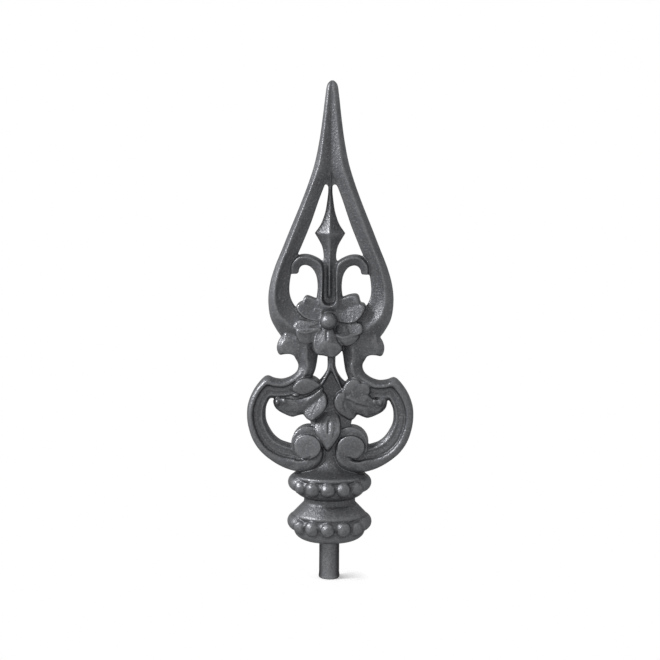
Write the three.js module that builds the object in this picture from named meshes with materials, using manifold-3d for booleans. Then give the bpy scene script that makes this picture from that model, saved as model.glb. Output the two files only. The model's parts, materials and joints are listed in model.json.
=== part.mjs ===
// Fence spear finial: one iron casting with its round fixing pin.
// Millimetres, +Z up, front towards -Y, origin at the middle of the pin's end face.
// Every relief is the same on the front and on the back, as from a two-part mould.

import * as THREE from 'three';
import { mergeVertices } from 'three/addons/utils/BufferGeometryUtils.js';
import Module from 'manifold-3d';

const wasm = await Module();
wasm.setup();

// Overall sizes
const OVERALL_HEIGHT = 392;
const PIN_RADIUS = 8;
const PIN_LENGTH = 31;
const SEAT_RADIUS = 17;

// Half depths, from the middle plane to the front
const EDGE_DEPTH = 3;
const HEAD_DEPTH = 9.3;
const FRAME_DEPTH = 10;

// Beaded base
const BEAD_COUNT = 14;
const UPPER_BEADS = { height: 76.8, ring: 27.6, radius: 5.6 };
const LOWER_BEADS = { height: 45.2, ring: 28.2, radius: 5.7 };
const BASE_SEGMENTS = 28;

// Places of the ornament, [x, z]
// The openings and what stands in them lie a little to the left of the outline.
const INNER_AXIS = -1;
const OPENING_SHIFT = -0.6;
const FLOWER_CENTRE = [INNER_AXIS, 206.4];
const BALL_RADIUS = 6.8;
const BALL_DEPTH = 19;
const STALK_AXIS = 0.8;
const BOSS_CENTRE = [17.2, 106.6];
const BOSS_RADIUS = 10.5;
const LOBE_CENTRE = [16.5, 108.9];
const LOBE_RADIUS = 13.4;

// Half of the lance head from the tip down: outer x, z, inner x, z, then the place of the ridge
// across the limb, the ridge's half depth and the inner edge's half depth.
const HEAD_STATIONS = [
  [0.8, OVERALL_HEIGHT, 0, 391.4, 0.45, 1.6, 1.4],
  [3.5, 388.4, 0, 387, 0.5, 4.6, 4.2],
  [5.2, 378.8, 0, 377, 0.48, 5.8, 5],
  [7.1, 364.1, 0, 362, 0.42, 6.8, 5.2],
  [9.6, 346, 0, 344, 0.32, 7.8, 5.2],
  [13.3, 327.6, 0, 325, 0.26, 8.6, 4.6],
  [18.6, 310.8, 3.4, 312, 0.25, 9, 3.4],
  [24.8, 294.4, 9.6, 298.6, 0.27, HEAD_DEPTH, EDGE_DEPTH],
  [31.5, 278, 15.6, 281, 0.29, HEAD_DEPTH, EDGE_DEPTH],
  [37.9, 262, 22.2, 264.6, 0.32, HEAD_DEPTH, EDGE_DEPTH],
  [43.9, 247, 27.9, 251, 0.37, HEAD_DEPTH, EDGE_DEPTH],
  [47.7, 233.5, 31.4, 237.5, 0.43, HEAD_DEPTH, EDGE_DEPTH],
  [48.9, 221, 31.6, 225, 0.46, HEAD_DEPTH, EDGE_DEPTH],
  [47.3, 208, 26.6, 215, 0.5, HEAD_DEPTH, EDGE_DEPTH],
  [42.4, 198, 18, 209, 0.55, 9, 4],
  [36.8, 190.5, 10, 203, 0.6, 8.5, 6],
];

// Half of the scroll frame from behind the flower, down the neck, along the shoulder, round the
// loop and into the volute: outer x, z, inner x, z, then the moulding and the half depth.
// Moulding 0 is a plain ridge, 1 a roll beside a hollow, 2 a plain roll.
const FRAME_STATIONS = [
  [32, 190, 7, 192, 0, 9],
  [28.8, 178.4, 9.8, 178.8, 0, 9.3],
  [25.2, 171, 10.9, 171.3, 0, 9.6],
  [26.4, 165.2, 12.6, 164.2, 0.15, 9.8],
  [31, 161.1, 17, 156, 0.5, FRAME_DEPTH],
  [37.8, 158.7, 28, 146, 0.9, FRAME_DEPTH],
  [44.3, 159.3, 38.6, 143.8, 1, FRAME_DEPTH],
  [49.9, 161.1, 46, 143.6, 1, FRAME_DEPTH],
  [54.7, 157.6, 48.3, 140.7, 1, FRAME_DEPTH],
  [60.7, 149.2, 50, 136.2, 1, FRAME_DEPTH],
  [64.6, 139, 50.4, 130.7, 1, FRAME_DEPTH],
  [65.4, 129, 49.8, 125.3, 1, FRAME_DEPTH],
  [63.9, 119.3, 47.5, 119.9, 1, FRAME_DEPTH],
  [60.5, 109.8, 43.7, 114.2, 1, FRAME_DEPTH],
  [54.5, 101.2, 38.7, 110.1, 1, FRAME_DEPTH],
  [45.5, 93.8, 33.6, 108.2, 1, FRAME_DEPTH],
  [35.4, 88.5, 28.2, 106, 1.2, FRAME_DEPTH],
  [25, 86.2, 24, 97.5, 1.6, 10.5],
  [16, 86.4, 16.8, 95.6, 2, 11],
  [8.8, 90.5, 11, 98, 2, 11.4],
  [4.9, 98, 8.3, 102.5, 2, 11.6],
  [5.2, 107, 9, 108, 2, 11.6],
  [9.6, 114.2, 12, 112, 2, 11.4],
  [16.5, 117.5, 16.5, 113.5, 2, 11],
];

// Sections of the frame: places across it from the outer edge, and shares of its half depth.
const FRAME_SECTIONS = [
  { across: [0, 0.2, 0.4, 0.58, 0.7, 0.85, 1], lift: [0.32, 0.7, 0.9, 1, 0.84, 0.6, 0.32] },
  { across: [0, 0.08, 0.2, 0.34, 0.41, 0.79, 1], lift: [0.32, 0.7, 1, 0.9, 0.6, 0.72, 0.32] },
  { across: [0, 0.1, 0.25, 0.45, 0.65, 0.85, 1], lift: [0.4, 0.74, 0.94, 1, 1, 0.86, 0.7] },
];

// Half of the pair of ears where the head meets the neck: outer x, z, inner x, z, share of depth.
const EAR_STATIONS = [
  [35.5, 199, 22, 198, 1],
  [38.6, 192.2, 21.5, 192, 1],
  [41.8, 186.6, 22, 187, 1],
  [41.9, 181.6, 24.5, 182.6, 1],
  [40.2, 178.6, 28, 180.2, 0.9],
  [39.4, 177.4, 28.8, 179, 0.4],
];

// The dart and its stem from the crotch down: z, half width, half depths of the edge and the ridge.
const DART_STATIONS = [
  [321, 4.6, 3, 4.6],
  [312, 4.4, 2.4, 4.2],
  [309, 2.6, 1.8, 3.6],
  [304, 2.1, 1.6, 3.4],
  [293, 3.4, 1.4, 4.4],
  [286.8, 4.9, 1.2, 5.4],
  [280.5, 7.4, 1, 6.8],
  [273.6, 11.9, 0.8, 8.2],
  [268, 8.4, 1.1, 6.9],
  [262.7, 5.9, 1.6, 6],
  [255.5, 4.8, 2.4, 5.6],
  [250.5, 5.6, 2.8, 5.6],
  [244, 4.8, 3, 5.6],
  [233, 4.4, 3, 5.6],
  [219, 4, 3, 5.2],
];

// Half of the fleur from the foot of its U up and over to the hook: outer x, z, inner x, z.
const FLEUR_STATIONS = [
  [-0.5, 212.5, -0.5, 220],
  [6.3, 214.5, 3, 221],
  [9.4, 221.5, 3.4, 226.5],
  [9.2, 231, 3.4, 235.5],
  [10, 239.6, 4, 244],
  [12.3, 244.6, 6.3, 251],
  [15.6, 247.8, 11.5, 255],
  [19.5, 248.8, 17.8, 257],
  [22.9, 247, 25.5, 256.4],
  [24.6, 244, 31, 252],
  [25.8, 241.6, 32.5, 243.6],
];
const FLEUR_DEPTH = 6.8;

// Petals round the ball: direction in degrees, half width, reach, depth of the notch in the rim,
// then the half depths at the foot, along the middle and at the rim.
const PETALS = [
  { turn: 25, halfWidth: 10, reach: 28, notch: 2.2, depths: [10, 11.6, 13.2] },
  { turn: 153, halfWidth: 9.6, reach: 27.4, notch: 2.4, depths: [10, 11.6, 13.2] },
  { turn: -34, halfWidth: 11.6, reach: 27, notch: 2.6, depths: [9, 13, 9.6] },
  { turn: 207, halfWidth: 11.2, reach: 29, notch: 2.6, depths: [9, 13, 9.6] },
  { turn: -92, halfWidth: 12.4, reach: 28.6, notch: 0.8, depths: [11, 15.6, 10.6] },
];

// The three-lobed leaf that stands on both sides: its outline from the stalk round, and the crowns
// of its lobes, each with the middle x, z, the lift and the radius over which it falls away.
const LEAF_OUTLINE = [
  [9, 152.5], [4.5, 147], [3.8, 141], [6.5, 134], [11, 129], [15.8, 126.8], [19.6, 129.4],
  [21.8, 131.6], [26, 130], [30.2, 129.2], [37, 131.8], [42, 135], [44.4, 139], [44, 143],
  [36, 145.5], [31.2, 148.6], [31.2, 153], [28, 157], [24.3, 157.2], [19.6, 159.8], [13.5, 158],
];
const LEAF_MIDDLE = [19.5, 142.5];
const LEAF_RIM_DEPTH = 4;
const LEAF_CROWNS = [
  { middle: [20.5, 153], lift: 8, radius: 8 },
  { middle: [33, 138], lift: 7, radius: 9 },
  { middle: [11.5, 138], lift: 9.5, radius: 9 },
];

// The web behind the leaves, from the flower down to the bud: z, half width, half depth.
const WEB_STATIONS = [
  [182, 3.4, 6],
  [173.8, 3.2, 6],
  [168.4, 3.6, 5.8],
  [164.2, 4.9, 5],
  [160, 7.8, 4.6],
  [154, 13.5, 4.6],
  [142, 19, 4.6],
  [130, 17, 5.5],
  [120, 14.5, 7],
  [110, 9, 7],
];
const RIB_ENDS = [[-10.5, 150], [12, 149]];
const RIB_APEX = [STALK_AXIS, 167.5];

// The bud between the volutes: z, half width, half depth.
const BUD_STATIONS = [
  [133, 1.5, 8],
  [129, 5, 11],
  [124, 8.4, 13.5],
  [118.6, 9.8, 14.5],
  [113, 8.2, 14],
  [108, 4.8, 12.5],
  [103.5, 1, 10.5],
];

// Outline of the turned base from the pin's end to the throat: radius, z.
const BASE_PROFILE = [
  [0, 0], [PIN_RADIUS, 0], [PIN_RADIUS, PIN_LENGTH], [SEAT_RADIUS, PIN_LENGTH],
  [21, 31.8], [24.6, 33.6], [27, 37], [25.3, 41], [25.3, 48.6], [28.6, 51.6], [28.8, 53.2],
  [26.5, 55.6], [22.8, 58.9], [20.5, 61.4], [20.5, 63.8], [21.8, 65.2], [26.2, 69.6],
  [25.2, 72.6], [25.2, 80.6], [29.2, 82.6], [28.8, 84.2], [17.5, 88], [12, 93],
  [9, 100], [8.4, 114], [0, 116],
];

// A smooth curve through two columns of a station table.
function curveThrough(stations, first, second) {
  return new THREE.SplineCurve(stations.map((row) => new THREE.Vector2(row[first], row[second])));
}

function mix(from, to, share) {
  return from + (to - from) * share;
}

function ease(share) {
  return share * share * (3 - 2 * share);
}

function closedGeometry(positions, index) {
  const geometry = new THREE.BufferGeometry();
  geometry.setAttribute('position', new THREE.Float32BufferAttribute(positions, 3));
  geometry.setIndex(index);
  return geometry;
}

// A sheet of points, lifted by the same half depth to the front and to the back.
// place(across, along, step) gives x, z and the half depth; step counts the points across.
function relief(acrossCount, alongCount, place) {
  const positions = [];
  for (const side of [-1, 1]) {
    for (let j = 0; j <= alongCount; j += 1) {
      for (let i = 0; i <= acrossCount; i += 1) {
        const [x, z, depth] = place(i / acrossCount, j / alongCount, i);
        positions.push(x, side * depth, z);
      }
    }
  }
  const rowLength = acrossCount + 1;
  const sheetLength = rowLength * (alongCount + 1);
  const front = (i, j) => j * rowLength + i;
  const back = (i, j) => sheetLength + front(i, j);
  const index = [];
  const quad = (a, b, c, d) => index.push(a, b, c, a, c, d);
  for (let j = 0; j < alongCount; j += 1) {
    for (let i = 0; i < acrossCount; i += 1) {
      quad(front(i, j), front(i + 1, j), front(i + 1, j + 1), front(i, j + 1));
      quad(back(i, j), back(i, j + 1), back(i + 1, j + 1), back(i + 1, j));
    }
    quad(front(0, j), front(0, j + 1), back(0, j + 1), back(0, j));
    quad(front(acrossCount, j), back(acrossCount, j), back(acrossCount, j + 1), front(acrossCount, j + 1));
  }
  for (let i = 0; i < acrossCount; i += 1) {
    quad(front(i, 0), back(i, 0), back(i + 1, 0), front(i + 1, 0));
    quad(front(i, alongCount), front(i + 1, alongCount), back(i + 1, alongCount), back(i, alongCount));
  }
  return closedGeometry(positions, index);
}

// A round or oval pad with the same half depths on both sides. The rings run from the middle out;
// place(angle, share) gives x, z and the half depth.
function pad(aroundCount, ringCount, place) {
  const positions = [];
  const sheetLength = 1 + ringCount * aroundCount;
  for (const side of [-1, 1]) {
    const [x, z, depth] = place(0, 0);
    positions.push(x, side * depth, z);
    for (let ring = 1; ring <= ringCount; ring += 1) {
      for (let k = 0; k < aroundCount; k += 1) {
        const [px, pz, pd] = place((2 * Math.PI * k) / aroundCount, ring / ringCount);
        positions.push(px, side * pd, pz);
      }
    }
  }
  const front = (ring, k) => 1 + (ring - 1) * aroundCount + (k % aroundCount);
  const back = (ring, k) => sheetLength + front(ring, k);
  const index = [];
  for (let k = 0; k < aroundCount; k += 1) {
    index.push(0, front(1, k), front(1, k + 1));
    index.push(sheetLength, back(1, k + 1), back(1, k));
    for (let ring = 1; ring < ringCount; ring += 1) {
      const [a, b, c, d] = [front(ring, k), front(ring + 1, k), front(ring + 1, k + 1), front(ring, k + 1)];
      index.push(a, b, c, a, c, d);
      const [e, f, g, h] = [back(ring, k), back(ring, k + 1), back(ring + 1, k + 1), back(ring + 1, k)];
      index.push(e, f, g, e, g, h);
    }
    const [p, q] = [front(ringCount, k), front(ringCount, k + 1)];
    const [r, s] = [back(ringCount, k + 1), back(ringCount, k)];
    index.push(p, s, r, p, r, q);
  }
  return closedGeometry(positions, index);
}

// A closed solid from a geometry, turned right side out.
function solid(geometry) {
  const bare = geometry.clone();
  bare.deleteAttribute('normal');
  bare.deleteAttribute('uv');
  const merged = mergeVertices(bare, 1e-4);
  const points = merged.attributes.position.array;
  const corners = merged.index.array;
  const triangles = [];
  let volume = 0;
  for (let k = 0; k < corners.length; k += 3) {
    const [a, b, c] = [corners[k], corners[k + 1], corners[k + 2]];
    if (a === b || b === c || c === a) {
      continue;
    }
    triangles.push([a, b, c]);
    const [u, v, w] = [a, b, c].map((n) => new THREE.Vector3().fromArray(points, 3 * n));
    volume += u.dot(v.cross(w));
  }
  const order = volume > 0 ? triangles : triangles.map(([a, b, c]) => [a, c, b]);
  const mesh = new wasm.Mesh({
    numProp: 3,
    vertProperties: new Float32Array(points),
    triVerts: new Uint32Array(order.flat()),
  });
  return new wasm.Manifold(mesh);
}

// A point of a band at a share of the way from its outer to its inner edge, on the right (side 1)
// or on the left (side -1).
function acrossBand(outer, inner, along, share, side, shift = OPENING_SHIFT) {
  const from = outer.getPoint(along);
  const to = inner.getPoint(along);
  return [mix(side * from.x, side * to.x + shift, share), mix(from.y, to.y, share)];
}

// One limb of the lance head: a roof-like section whose ridge runs nearer the outer edge.
function headLimb(side) {
  const outer = curveThrough(HEAD_STATIONS, 0, 1);
  const inner = curveThrough(HEAD_STATIONS, 2, 3);
  const ridge = curveThrough(HEAD_STATIONS, 4, 5);
  const innerEdge = curveThrough(HEAD_STATIONS, 6, 6);
  return relief(4, 22, (across, along, step) => {
    const { x: place, y: ridgeDepth } = ridge.getPoint(along);
    const innerDepth = innerEdge.getPoint(along).x;
    const outerDepth = Math.min(EDGE_DEPTH, ridgeDepth * 0.5);
    const places = [0, place * 0.45, place, mix(place, 1, 0.5), 1];
    const depths = [
      outerDepth,
      mix(outerDepth, ridgeDepth, 0.62),
      ridgeDepth,
      mix(ridgeDepth, innerDepth, 0.52),
      innerDepth,
    ];
    return [...acrossBand(outer, inner, along, places[step], side), depths[step]];
  });
}

// Half of the scroll frame, its section changing along the way.
function scrollFrame(side) {
  const outer = curveThrough(FRAME_STATIONS, 0, 1);
  const inner = curveThrough(FRAME_STATIONS, 2, 3);
  const shape = curveThrough(FRAME_STATIONS, 4, 5);
  const steps = FRAME_SECTIONS[0].across.length - 1;
  return relief(steps, 28, (across, along, step) => {
    const { x, y: depth } = shape.getPoint(along);
    const moulding = THREE.MathUtils.clamp(x, 0, 2);
    const first = Math.min(Math.floor(moulding), 1);
    const [from, to] = [FRAME_SECTIONS[first], FRAME_SECTIONS[first + 1]];
    const share = mix(from.across[step], to.across[step], moulding - first);
    const lift = mix(from.lift[step], to.lift[step], moulding - first);
    const shift = OPENING_SHIFT * Math.min(moulding, 1);
    return [...acrossBand(outer, inner, along, share, side, shift), depth * lift];
  });
}

function ear(side) {
  const outer = curveThrough(EAR_STATIONS, 0, 1);
  const inner = curveThrough(EAR_STATIONS, 2, 3);
  const lift = curveThrough(EAR_STATIONS, 4, 4);
  const places = [0, 0.14, 0.4, 1];
  const depths = [EDGE_DEPTH, 7, 8.6, 9.2];
  return relief(3, 6, (across, along, step) => {
    const depth = depths[step] * Math.min(lift.getPoint(along).x, 1);
    return [...acrossBand(outer, inner, along, places[step], side), depth];
  });
}

// The four-sided dart with a sharp front ridge, running down into the stem.
function dart() {
  const width = curveThrough(DART_STATIONS, 0, 1);
  const depths = curveThrough(DART_STATIONS, 2, 3);
  return relief(2, DART_STATIONS.length - 1, (across, along, step) => {
    const { x: z, y: halfWidth } = width.getPoint(along);
    const { x: edge, y: ridge } = depths.getPoint(along);
    return [INNER_AXIS + halfWidth * (2 * across - 1), z, step === 1 ? ridge : edge];
  });
}

function fleurArm(side) {
  const outer = curveThrough(FLEUR_STATIONS, 0, 1);
  const inner = curveThrough(FLEUR_STATIONS, 2, 3);
  const depths = [EDGE_DEPTH, FLEUR_DEPTH, EDGE_DEPTH];
  return relief(2, 15, (across, along, step) => {
    const point = outer.getPoint(along).lerp(inner.getPoint(along), across);
    return [INNER_AXIS + side * point.x, point.y, depths[step]];
  });
}

// A rounded, notched petal opening from the ball.
function petal({ turn, halfWidth, reach, notch, depths }) {
  const bend = 0.55;
  const heading = THREE.MathUtils.degToRad(turn);
  return relief(6, 3, (across, along) => {
    const swing = 2 * across - 1;
    const rim = reach * (1 - 0.34 * swing ** 4) - notch * Math.exp(-((swing / 0.25) ** 2));
    const out = rim * along;
    const aside = swing * halfWidth * mix(0.5, 1, Math.sin(0.5 * Math.PI * Math.min(1.5 * along, 1)));
    const crown = along < bend
      ? mix(depths[0], depths[1], ease(along / bend))
      : mix(depths[1], depths[2], ease((along - bend) / (1 - bend)));
    const x = FLOWER_CENTRE[0] + out * Math.cos(heading) - aside * Math.sin(heading);
    const z = FLOWER_CENTRE[1] + out * Math.sin(heading) + aside * Math.cos(heading);
    return [x, z, crown - 1.6 * swing ** 2];
  });
}

// A round disc that falls away from its crown to its rim.
function disc([x, z], radius, crown, rim, around) {
  const ringPlaces = [0, 0.8, 1];
  return pad(around, 2, (angle, share) => {
    const place = ringPlaces[Math.round(share * 2)];
    const depth = mix(crown, rim, place ** 3);
    return [x + radius * place * Math.cos(angle), z + radius * place * Math.sin(angle), depth];
  });
}

function leaf(side) {
  const points = LEAF_OUTLINE.map(([x, z]) => new THREE.Vector2(x, z));
  const outline = new THREE.SplineCurve([...points, points[0]]);
  return pad(22, 2, (angle, share) => {
    const edge = outline.getPoint(angle / (2 * Math.PI));
    const x = mix(LEAF_MIDDLE[0], edge.x, share);
    const z = mix(LEAF_MIDDLE[1], edge.y, share);
    let depth = LEAF_RIM_DEPTH;
    for (const { middle, lift, radius } of LEAF_CROWNS) {
      const away = Math.hypot(x - middle[0], z - middle[1]) / radius;
      depth += lift * Math.exp(-(away ** 2));
    }
    return [side * x, z, depth];
  });
}

function web() {
  const width = curveThrough(WEB_STATIONS, 0, 1);
  const depth = curveThrough(WEB_STATIONS, 0, 2);
  return relief(1, 9, (across, along) => {
    const { x: z, y: halfWidth } = width.getPoint(along);
    return [STALK_AXIS + halfWidth * (2 * across - 1), z, depth.getPoint(along).y];
  });
}

// A rounded rib from the foot of the stalk down to a leaf.
function rib(end) {
  const halfWidth = 1.7;
  const start = new THREE.Vector2(...RIB_APEX);
  const way = new THREE.Vector2(...end).sub(start);
  const sideways = new THREE.Vector2(-way.y, way.x).normalize();
  return relief(2, 3, (across, along, step) => {
    const point = start.clone().addScaledVector(way, along);
    point.addScaledVector(sideways, halfWidth * (2 * across - 1));
    return [point.x, point.y, step === 1 ? 9 : 6];
  });
}

// The bud, with upright grooves between its closed petals.
function bud() {
  const width = curveThrough(BUD_STATIONS, 0, 1);
  const depth = curveThrough(BUD_STATIONS, 0, 2);
  return relief(6, 6, (across, along) => {
    const swing = 2 * across - 1;
    const { x: z, y: halfWidth } = width.getPoint(along);
    const round = Math.sqrt(1 - 0.6 * swing ** 2);
    const groove = 0.8 * Math.cos(3 * Math.PI * swing) ** 2 - 0.8;
    return [halfWidth * swing, z, depth.getPoint(along).y * round + groove];
  });
}

function base() {
  const profile = BASE_PROFILE.map(([radius, z]) => new THREE.Vector2(radius, z));
  return new THREE.LatheGeometry(profile, BASE_SEGMENTS).rotateX(Math.PI / 2);
}

function beads({ height, ring, radius }) {
  const list = [];
  for (let k = 0; k < BEAD_COUNT; k += 1) {
    const angle = (2 * Math.PI * k) / BEAD_COUNT;
    const bead = new THREE.SphereGeometry(radius, 6, 4).rotateX(Math.PI / 2).rotateZ(angle);
    list.push(bead.translate(ring * Math.sin(angle), -ring * Math.cos(angle), height));
  }
  return list;
}

function ball() {
  const round = new THREE.SphereGeometry(BALL_RADIUS, 8, 6);
  round.scale(1, BALL_DEPTH / BALL_RADIUS, 1);
  return round.translate(FLOWER_CENTRE[0], 0, FLOWER_CENTRE[1]);
}

function half(side) {
  return [
    headLimb(side),
    ear(side),
    fleurArm(side),
    scrollFrame(side),
    disc([side * LOBE_CENTRE[0], LOBE_CENTRE[1]], LOBE_RADIUS, 8, 4, 12),
    disc([side * BOSS_CENTRE[0], BOSS_CENTRE[1]], BOSS_RADIUS, 13, 11, 14),
    leaf(side),
  ];
}

const shapes = [
  base(),
  ...half(1),
  ...half(-1),
  dart(),
  disc(FLOWER_CENTRE, 15, 8.6, 8, 10),
  ...PETALS.map(petal),
  ball(),
  web(),
  ...RIB_ENDS.map(rib),
  bud(),
  ...beads(UPPER_BEADS),
  ...beads(LOWER_BEADS),
];

const casting = shapes.map(solid).reduce((whole, shape) => whole.add(shape));
const { vertProperties, triVerts } = casting.getMesh();
const castingGeometry = closedGeometry(Array.from(vertProperties), Array.from(triVerts));
castingGeometry.computeVertexNormals();

const castIron = new THREE.MeshStandardMaterial({
  name: 'cast_iron',
  color: 0x56585b,
  metalness: 0.6,
  roughness: 0.6,
});
const spearFinial = new THREE.Mesh(castingGeometry, castIron);
spearFinial.name = 'spear_finial';

const finial = new THREE.Group();
finial.name = 'fence_spear_finial';
finial.add(spearFinial);

export default finial;
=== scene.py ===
"""Fence spear finial: the finished iron casting and a plain studio round it."""

import json
import math

import bpy
import numpy as np
from bpy.props import FloatProperty, FloatVectorProperty, IntProperty, PointerProperty
from bpy.types import Operator, Panel, PropertyGroup
from mathutils import Matrix, Vector

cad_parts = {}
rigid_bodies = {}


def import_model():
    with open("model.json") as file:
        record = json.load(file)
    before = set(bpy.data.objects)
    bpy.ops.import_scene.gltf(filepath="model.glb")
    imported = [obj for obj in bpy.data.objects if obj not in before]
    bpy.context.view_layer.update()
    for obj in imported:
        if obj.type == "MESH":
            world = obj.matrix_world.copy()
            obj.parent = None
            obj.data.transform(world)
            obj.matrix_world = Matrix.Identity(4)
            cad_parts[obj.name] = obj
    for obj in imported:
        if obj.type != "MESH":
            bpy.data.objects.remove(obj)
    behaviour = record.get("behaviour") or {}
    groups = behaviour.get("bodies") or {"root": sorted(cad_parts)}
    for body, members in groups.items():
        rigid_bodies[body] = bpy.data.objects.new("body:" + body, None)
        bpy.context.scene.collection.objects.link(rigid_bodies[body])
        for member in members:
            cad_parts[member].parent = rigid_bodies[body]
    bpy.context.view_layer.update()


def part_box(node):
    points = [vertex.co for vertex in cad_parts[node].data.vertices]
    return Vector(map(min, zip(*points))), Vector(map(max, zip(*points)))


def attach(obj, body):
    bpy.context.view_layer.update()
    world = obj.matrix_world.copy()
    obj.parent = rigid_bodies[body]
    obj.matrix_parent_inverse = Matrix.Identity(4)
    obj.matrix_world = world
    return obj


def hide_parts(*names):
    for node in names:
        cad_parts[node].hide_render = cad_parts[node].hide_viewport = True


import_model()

bl_info = {
    "name": "Fence spear finial",
    "version": (1, 0, 0),
    "blender": (4, 5, 0),
    "location": "3D View > Sidebar > Finial",
    "description": "Models a cast iron spear finial with its ornament and surface",
    "category": "Add Mesh",
}

NODE = "spear_finial"
TIP_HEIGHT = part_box(NODE)[1][2]

# Shapes are given in millimetres in the part's frame and made in metres.
# x runs to the right and z up; a half depth runs from the middle plane to the front, and to the back.
# Below are the distance between points, the half depths that several forms share, and how far the dart and
# the flower, the openings and the leaves' stalk lie from the middle.
MM = 0.001
STEP = 0.6
EDGE_DEPTH = 3.0
HEAD_DEPTH = 9.3
FRAME_DEPTH = 10.0
INNER_AXIS = -1.0
OPENING_SHIFT = -0.6
STALK_AXIS = 0.8

# Half of the lance head from the tip down: outer x, z, inner x, z, the ridge's place across the limb,
# the half depths of the ridge and of the inner edge, and the depth of the hollow beside the ridge.
HEAD_STATIONS = [
    (0.8, TIP_HEIGHT / MM, 0, 391.4, 0.45, 1.6, 1.4, 0),
    (3.9, 388.4, 0, 387, 0.48, 4.8, 4.4, 0),
    (5.4, 378.8, 0, 377, 0.42, 6, 5, 0),
    (7.1, 364.1, 0, 362, 0.37, 6.9, 5, 0),
    (9.6, 346, 0, 344, 0.32, 7.8, 4.8, 0),
    (13.3, 327.6, 0, 325, 0.3, 8.6, 4.2, 0),
    (18.6, 310.8, 4.6, 312, 0.28, 9, 3.6, 0),
    (24.8, 294.4, 9.6, 298.6, 0.27, HEAD_DEPTH, 3.4, 0),
    (31.5, 278, 15.6, 281, 0.28, HEAD_DEPTH, EDGE_DEPTH, 0.1),
    (37.9, 262, 22.2, 264.6, 0.29, HEAD_DEPTH, EDGE_DEPTH, 0.3),
    (43.9, 247, 27.9, 251, 0.31, HEAD_DEPTH, EDGE_DEPTH, 0.6),
    (47.7, 233.5, 31.4, 237.5, 0.33, HEAD_DEPTH, EDGE_DEPTH, 0.9),
    (48.9, 221, 31.6, 225, 0.34, HEAD_DEPTH, EDGE_DEPTH, 1),
    (47.3, 208, 26.6, 215, 0.36, HEAD_DEPTH, EDGE_DEPTH, 0.9),
    (42.4, 198, 18, 209, 0.42, 9, 5, 0.4),
    (36.8, 190.5, 10, 203, 0.5, 8.6, 7, 0),
]

# The web in the fork of the head, with a round arch over each of the two openings below it.
FORK_TOP = 328.0
FORK_FOOT = 309.8
FORK_HALF_WIDTH = 6.4
FORK_DEPTH = 3.2
ARCH_CENTRE = 3.6
ARCH_RADIUS = 1.95

# Half of the scroll frame from behind the flower to the end of the volute: outer x, z, inner x, z,
# the moulding and the half depth. A moulding of 0 is a plain ridge, 1 a roll beside a hollow and 2 a roll
# over the whole width.
FRAME_STATIONS = [
    (32, 190, 7, 192, 0, 9),
    (28.8, 178.4, 9.8, 178.8, 0, 9.3),
    (25.2, 171, 10.9, 171.3, 0, 9.6),
    (26.4, 165.2, 12.6, 164.2, 0.15, 9.8),
    (31, 161.1, 17, 156, 0.5, FRAME_DEPTH),
    (37.8, 158.7, 28, 146, 0.9, FRAME_DEPTH),
    (44.3, 159.3, 38.6, 143.8, 1, FRAME_DEPTH),
    (49.9, 161.1, 46, 143.6, 1, FRAME_DEPTH),
    (54.7, 157.6, 48.3, 140.7, 1, FRAME_DEPTH),
    (60.7, 149.2, 50, 136.2, 1, FRAME_DEPTH),
    (64.6, 139, 50.4, 130.7, 1, FRAME_DEPTH),
    (65.4, 129, 49.8, 125.3, 1, FRAME_DEPTH),
    (63.9, 119.3, 47.5, 119.9, 1, FRAME_DEPTH),
    (60.5, 109.8, 43.7, 114.2, 1, FRAME_DEPTH),
    (54.5, 101.2, 38.7, 110.1, 1, FRAME_DEPTH),
    (45.5, 93.8, 33.6, 108.2, 1.06, FRAME_DEPTH),
    (35.4, 88.5, 28.2, 106, 1.22, 10.4),
    (25, 86.2, 24.4, 98.6, 1.68, 11.4),
    (16, 86.4, 17, 98.2, 1.92, 12.2),
    (8.8, 90.5, 13, 100.5, 2, 12.7),
    (4.9, 98, 11.4, 103.6, 2, 12.8),
    (5.2, 107, 12, 107.4, 2, 12.6),
    (9.2, 114.2, 14, 110, 2, 11.6),
    (15, 117.5, 16.4, 111.4, 2, 10),
]

# Sections of the frame from its outer to its inner edge: place across, share of the half depth. The roll
# takes up the first share of the moulded section.
PLAIN_SECTION = [(0, 0.34), (0.05, 0.5), (0.15, 0.66), (0.35, 0.86), (0.52, 1), (0.6, 0.96), (0.8, 0.68),
                 (1, 0.36)]
MOULDED_SECTION = [(0, 0.34), (0.04, 0.6), (0.1, 0.84), (0.19, 0.98), (0.28, 1), (0.35, 0.9), (0.4, 0.72),
                   (0.43, 0.62), (0.46, 0.7), (0.55, 0.72), (0.66, 0.66), (0.75, 0.66), (0.8, 0.71),
                   (0.84, 0.7), (0.9, 0.56), (1, 0.32)]
WINDING_SECTION = [(0, 0.5), (0.05, 0.72), (0.14, 0.86), (0.4, 0.95), (0.7, 0.99), (0.84, 1), (0.92, 0.88),
                   (1, 0.62)]
RISING_SECTION = [(0, 0.5), (0.05, 0.74), (0.14, 0.89), (0.3, 0.97), (0.5, 1), (0.7, 1), (1, 1)]
ROLL_SHARE = 0.43

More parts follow.
